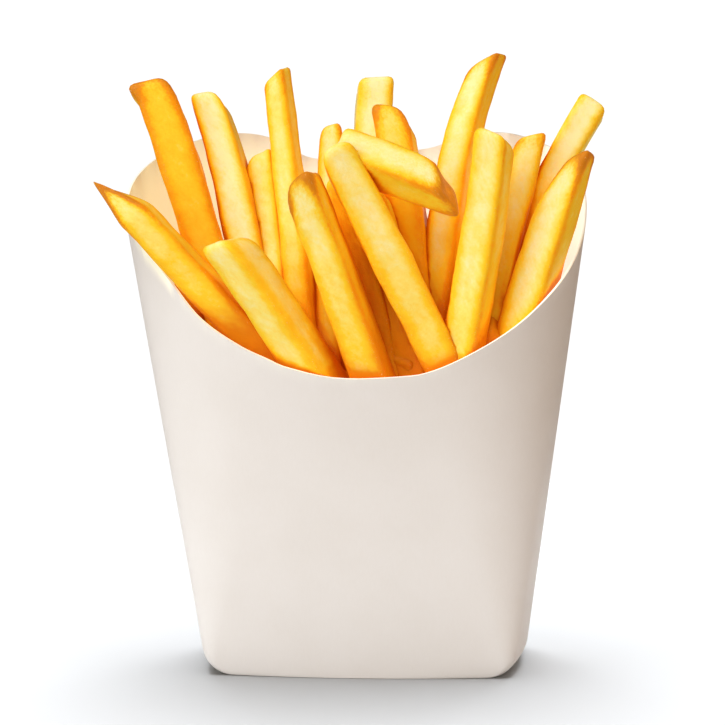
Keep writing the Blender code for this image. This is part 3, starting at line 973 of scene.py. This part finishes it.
@dataclass(frozen=True)
class FryShape:
    """The cut and fried form of one fry, in its own frame: Z from foot to tip, X right, Y back.

    The ranges are what chance draws from. The swell changes the thickness along the fry, and the
    wave and the ripple move its skin in and out, each over its own length. The brown reaches say
    how far the browning runs down from the tip on the faces, and how much further on the edges.
    """

    fry: Fry
    seed: int
    rings: int = 56
    across: int = 5
    round_steps: int = 3
    edge_round: float = 0.18
    foot_taper: float = 0.92
    foot_taper_share: float = 0.33
    tip_taper_power: int = 3
    slant_power: int = 4
    corner_power: int = 3
    bend: float = 6.75
    point_length: float = 10.5 * MM
    point_power: float = 1.2
    hook_length: float = 4.0 * MM
    first_seed: int = 1000
    dish_range: Pair = (-0.1, 0.28)
    dish_power: int = 4
    twist_range: Pair = (-7.0, 7.0)
    skew_range: Pair = (-0.1, 0.1)
    start_range: Pair = (-90.0, 90.0)
    swell: float = 0.06
    swell_length: float = 12.0 * MM
    wave: float = 0.3 * MM
    wave_length: float = 7.0 * MM
    ripple: float = 0.09 * MM
    ripple_length: float = 2.2 * MM
    end_normal: float = 0.9
    long_edge: float = 0.9
    side_blend: float = 3.0
    brown_reach: float = 2.6
    brown_edge_reach: float = 6.0
    brown_edge_power: int = 3
    # Between these heights the painted depth shade rises from none to full.
    deep_top: float = 104.0 * MM
    deep_bottom: float = 74.0 * MM

    def build(self) -> tuple[bmesh.types.BMesh, dict[str, list[float]], list[Vector]]:
        """Cut the bar, then bend, taper and roughen it.

        Returns:
            The mesh in place, its attributes by name, and the grain's place of each vertex.
        """
        length = self.length()
        half = Vector((0.5 * MM * self.fry.width, 0.5 * MM * self.fry.depth, length))
        shape = self.bar(half)
        shape.normal_update()
        uneven = self.unevenness()
        values = {name: [] for name in FRY_VALUES}
        grain = []
        matrix = self.matrix()
        for vert in shape.verts:
            place = vert.co.copy()
            right = place.x / half.x
            back = place.y / half.y
            flat = abs(vert.normal.z) > self.end_normal
            edge = (max if flat else min)(abs(right), abs(back))
            beside = 0.0 if flat else held(0.5 + self.side_blend * (abs(right) - abs(back)))
            # The side faces take the fry's painted side shade on top of its tone.
            values["tone"].append(self.fry.tone.value + beside * self.fry.painted_side_shade[right > 0.0])
            values["arris"].append(edge)
            reach = MM * (self.brown_reach + self.brown_edge_reach * edge ** self.brown_edge_power)
            values["tip"].append(self.fry.browning * math.exp((place.z - length) / reach))
            # Painted depth shade, rising from the top height down to the bottom one.
            depth = (self.deep_top - (matrix @ place).z) / (self.deep_top - self.deep_bottom)
            values["depth_shade"].append(self.fry.depth_shade * held(depth))
            grain.append(place / MM + uneven.start)
            vert.co = self.fried(place, vert.normal, right, back, uneven)
        bmesh.ops.transform(shape, matrix=matrix, verts=shape.verts)
        return shape, values, grain

    def unevenness(self) -> Unevenness:
        """Draw how this fry departs from a straight bar.

        Returns:
            Its own unevenness, the same each time.
        """
        draw = random.Random(self.first_seed + self.seed)
        dish = MM * draw.uniform(*self.dish_range)
        twist = math.radians(draw.uniform(*self.twist_range))
        skew = draw.uniform(*self.skew_range)
        start = Vector([draw.uniform(*self.start_range) for _ in range(3)])
        return Unevenness(dish, twist, skew, start)

    def bar(self, half: Vector) -> bmesh.types.BMesh:
        """Cut a bar with rounded edges, in a net fine enough for the relief.

        Args:
            half: Half the width and depth, and the whole length.

        Returns:
            The bar, standing on its foot.
        """
        shape = bmesh.new()
        bmesh.ops.create_cube(shape, size=1.0)
        bmesh.ops.scale(shape, vec=(2.0 * half.x, 2.0 * half.y, half.z), verts=shape.verts)
        bmesh.ops.translate(shape, vec=(0.0, 0.0, 0.5 * half.z), verts=shape.verts)
        bmesh.ops.bevel(
            shape, geom=shape.edges, offset=self.edge_round * 2.0 * half.x, segments=self.round_steps,
            profile=0.5, affect="EDGES", material=-1,
        )
        spans = ((2, 0.5 * half.z, self.rings), (0, half.x, self.across), (1, half.y, self.across))
        for axis, reach, cuts in spans:
            edges = [edge for edge in shape.edges
                     if abs(edge.verts[0].co[axis] - edge.verts[1].co[axis]) > self.long_edge * reach]
            bmesh.ops.subdivide_edges(shape, edges=edges, cuts=cuts)
        return shape

    def fried(self, place: Vector, normal: Vector, right: float, back: float,
              uneven: Unevenness) -> Vector:
        """Move one point of the bar to where frying and handling leave it.

        Args:
            place: The point of the cut bar.
            normal: The bar's normal there.
            right: How far right it is, from -1 to 1.
            back: How far back it is, from -1 to 1.
            uneven: How the fry departs from a straight bar.

        Returns:
            The moved point.
        """
        start = uneven.start
        share = held(place.z / self.length())
        slant = self.fry.slant[0] * place.x + self.fry.slant[1] * place.y
        size = self.foot_taper + (1.0 - self.foot_taper) * min(1.0, share / self.foot_taper_share)
        size *= 1.0 + (self.fry.taper - 1.0) * share ** self.tip_taper_power
        size *= 1.0 + self.swell * noise.noise(Vector((start.x, place.z / self.swell_length, start.y)))
        moved = place.copy()
        moved.x -= math.copysign(uneven.dish * (1.0 - back ** 2) * abs(right) ** self.dish_power, right)
        moved.y -= math.copysign(uneven.dish * (1.0 - right ** 2) * abs(back) ** self.dish_power, back)
        wave = Vector((right, back, place.z / self.wave_length)) + start
        moved += self.wave * noise.noise(wave) * normal
        moved += self.ripple * noise.noise(place / self.ripple_length + start) * normal
        turn = uneven.twist * (share - 0.5)
        leaned = moved.x + uneven.skew * moved.y
        arch = MM * self.bend * share * share * (1.0 - share)
        bow = Matrix.Rotation(math.radians(-self.fry.roll), 2) @ Vector(self.fry.bow)
        left_over = self.length() - place.z
        drop = MM * self.fry.corners[right > 0.0] * abs(right) ** self.corner_power
        narrow = self.fry.point[0] * max(0.0, 1.0 - left_over / self.point_length) ** self.point_power
        size *= 1.0 - narrow
        aside = 0.5 * MM * self.fry.width * narrow * self.fry.point[1] + arch * bow.x
        aside -= MM * self.fry.hook * max(0.0, 1.0 - left_over / self.hook_length) * max(0.0, -right)
        return Vector((
            size * (leaned * math.cos(turn) - moved.y * math.sin(turn)) + aside,
            size * (leaned * math.sin(turn) + moved.y * math.cos(turn)) + arch * bow.y,
            moved.z + (slant - drop) * share ** self.slant_power,
        ))

    def length(self) -> float:
        """Distance between the middles of the ends."""
        return MM * (Vector(self.fry.tip) - Vector(self.fry.foot)).length

    def matrix(self) -> Matrix:
        """Find the place and the turn of the fry in the carton.

        Returns:
            The matrix that takes the fry's own frame there.
        """
        tip = MM * Vector(self.fry.tip)
        foot = MM * Vector(self.fry.foot)
        axis = (tip - foot).normalized()
        right = Vector((0.0, 1.0, 0.0)).cross(axis).normalized()
        back = axis.cross(right)
        turn = Matrix((right, back, axis)).transposed() @ Matrix.Rotation(math.radians(self.fry.roll), 3, "Z")
        return Matrix.Translation(foot) @ turn.to_4x4()


@dataclass(frozen=True)
class FryHeap:
    """All the loose fries that stand over the core, joined in one piece."""

    rows: FryRows = FryRows()
    row_rings: int = 22
    row_across: int = 3

    def build(self, material: bpy.types.Material) -> bpy.types.Object:
        """Shape every fry and join them.

        Args:
            material: The potato's finish.

        Returns:
            The fries.
        """
        whole = bmesh.new()
        values: dict[str, list[float]] = {name: [] for name in FRY_VALUES}
        grain: list[Vector] = []
        shapes = [FryShape(fry, seed) for seed, fry in enumerate(STANDING_FRIES)]
        shapes += [FryShape(fry, len(shapes) + step, self.row_rings, self.row_across)
                   for step, fry in enumerate(self.rows.fries())]
        for one in shapes:
            shape, attributes, places = one.build()
            mesh = bpy.data.meshes.new("one fry")
            shape.to_mesh(mesh)
            shape.free()
            whole.from_mesh(mesh)
            bpy.data.meshes.remove(mesh)
            for name, numbers in attributes.items():
                values[name] += numbers
            grain += places
        heap = new_piece("golden_fries", whole)
        arrays = {name: np.array(numbers) for name, numbers in values.items()}
        self.write_attributes(heap.data, arrays, np.array(grain).ravel())
        heap.data.materials.append(material)
        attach(heap, "root")
        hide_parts("fries")
        return heap

    @staticmethod
    def write_attributes(mesh: bpy.types.Mesh, values: dict[str, np.ndarray], places: np.ndarray) -> None:
        """Write what the finish reads at each vertex.

        Args:
            mesh: The mesh.
            values: Its numbers, by name.
            places: The grain's place at each vertex, in mm, one number after the other.
        """
        for name, numbers in values.items():
            layer = mesh.attributes.new(name, "FLOAT", "POINT")
            layer.data.foreach_set("value", numbers.astype(np.float32))
        layer = mesh.attributes.new("place", "FLOAT_VECTOR", "POINT")
        layer.data.foreach_set("vector", places.astype(np.float32))


class Reach(enum.Enum):
    """Whether a light falls on all but some things, or on those alone."""

    ALL_BUT = "EXCLUDE"
    ONLY = "INCLUDE"


@dataclass(frozen=True)
class Lamp:
    """A square soft light: where it hangs and how long its side is in metres, and its watts."""

    name: str
    place: Triple
    size: float
    power: float
    colour: Triple = WHITE

    def hang(self, target: Triple) -> bpy.types.Object:
        """Hang the light and point it.

        Args:
            target: The place that it looks at.

        Returns:
            The light's object.
        """
        light = bpy.data.lights.new(self.name, "AREA")
        light.size = self.size
        light.energy = self.power
        light.color = self.colour
        lamp = bpy.data.objects.new(self.name, light)
        look = Vector(target) - Vector(self.place)
        turn = look.to_track_quat("-Z", "Y").to_matrix().to_4x4()
        lamp.matrix_world = Matrix.Translation(self.place) @ turn
        bpy.context.scene.collection.objects.link(lamp)
        return lamp


@dataclass(frozen=True)
class Studio:
    """Camera and light: soft light from the front left, a white room and a low standing view.

    The top light falls on the floor alone and gives the soft shadow under the carton. The side
    light leaves the carton out. The backdrop is how bright the room looks behind the floor.
    """

    yaw: float = math.radians(7.0)
    elevation: float = math.radians(12.0)
    tilt: float = math.radians(-1.4)
    focal_pixels: float = 3181.0
    distance: float = 0.7
    target: Triple = (0.0, 0.0, 0.068)
    centre: Pair = (358.5, 363.3)
    nearest: float = 0.01
    key: Lamp = Lamp("key", (-0.80, -0.82, 0.50), 0.9, 8.2)
    fill: Lamp = Lamp("fill", (0.95, -0.35, 0.45), 0.8, 1.8, (1.0, 0.48, 0.14))
    high: Lamp = Lamp("high", (-0.20, -0.55, 0.97), 0.8, 7.0)
    side: Lamp = Lamp("side", (1.0, -0.30, 0.40), 0.7, 2.2, (1.0, 0.74, 0.34))
    top: Lamp = Lamp("top", (0.0, 0.27, 1.5), 1.3, 49.0)
    ambient: Triple = (1.0, 0.79, 0.57)
    ambient_strength: float = 0.2
    backdrop: float = 1.05

    def build(self, carton: bpy.types.Object) -> None:
        """Set up the camera, the lights and the room.

        Args:
            carton: The carton, which the side light leaves out.
        """
        self.add_camera()
        floor = Floor().build()
        self.hang_lamps((self.key, self.fill, self.high), Reach.ALL_BUT, (floor,))
        self.hang_lamps((self.side,), Reach.ALL_BUT, (floor, carton))
        self.hang_lamps((self.top,), Reach.ONLY, (floor,))
        self.add_world()

    def hang_lamps(self, lamps: tuple[Lamp, ...], reach: Reach, things: tuple[bpy.types.Object, ...]) -> None:
        """Hang some lights that leave some things out, or fall on nothing else.

        Args:
            lamps: The lights.
            reach: Which of the two it is.
            things: The things.
        """
        named = bpy.data.collections.new("light receivers")
        for thing in things:
            named.objects.link(thing)
        for receiver in named.collection_objects:
            receiver.light_linking.link_state = reach.value
        for lamp in lamps:
            lamp.hang(self.target).light_linking.receiver_collection = named

    def add_camera(self) -> None:
        """Stand the camera where the photograph was taken from."""
        forward = Vector((-math.sin(self.yaw) * math.cos(self.elevation),
                          math.cos(self.yaw) * math.cos(self.elevation), -math.sin(self.elevation)))
        level = Vector((math.cos(self.yaw), math.sin(self.yaw), 0.0))
        upright = level.cross(forward)
        right = math.cos(self.tilt) * level + math.sin(self.tilt) * upright
        up = -math.sin(self.tilt) * level + math.cos(self.tilt) * upright
        lens = bpy.data.cameras.new("camera")
        lens.sensor_width = SENSOR_WIDTH
        lens.lens = self.focal_pixels / IMAGE_SIZE * SENSOR_WIDTH
        lens.shift_x = (0.5 * IMAGE_SIZE - self.centre[0]) / IMAGE_SIZE
        lens.shift_y = (self.centre[1] - 0.5 * IMAGE_SIZE) / IMAGE_SIZE
        lens.clip_start = self.nearest
        camera = bpy.data.objects.new("camera", lens)
        turn = Matrix((right, up, -forward)).transposed().to_4x4()
        camera.matrix_world = Matrix.Translation(Vector(self.target) - self.distance * forward) @ turn
        bpy.context.scene.collection.objects.link(camera)
        bpy.context.scene.camera = camera

    def add_world(self) -> None:
        """Fill the room with dim warm light, and show it white behind the floor."""
        world = bpy.data.worlds.new("white room")
        bpy.context.scene.world = world
        world.use_nodes = True
        graph = Graph(world.node_tree)
        dim_light = {"Color": (*self.ambient, 1.0), "Strength": self.ambient_strength}
        dim = graph.node("ShaderNodeBackground", {}, dim_light)
        white = graph.node("ShaderNodeBackground", {}, {"Color": (*WHITE, 1.0), "Strength": self.backdrop})
        seen = graph.node("ShaderNodeLightPath")["Is Camera Ray"]
        room = graph.node("ShaderNodeMixShader", {}, {0: seen, 1: dim["Background"], 2: white["Background"]})
        graph.node("ShaderNodeOutputWorld", {}, {"Surface": room["Shader"]})
        bpy.context.scene.view_settings.view_transform = "Standard"


def main() -> None:
    """Build the studio, the carton and its fries, and report each piece."""
    logging.basicConfig(level=logging.INFO, format="%(name)s: %(message)s")
    wall = WallOutline()
    potato = FriedPotato().material()
    carton, core, heap = Carton(wall).build(), Core(wall).build(potato), FryHeap().build(potato)
    Studio().build(carton)
    pieces = [carton, core, heap]
    # The shelter paints shade and glow on the fries and the core; the fry bounce paints warm light on the
    # board.
    near = Shelter()
    around = near.tree(pieces)
    near.write(heap, around, "shelter")
    near.write(core, around, "shelter")
    far = Shelter(reach=FRY_BOUNCE_REACH)
    far.write(carton, far.tree([heap]), "fry_bounce")
    for piece in pieces:
        piece.data.calc_loop_triangles()
        log.info("%s: %d triangles", piece.name, len(piece.data.loop_triangles))


if __name__ == "__main__":
    main()
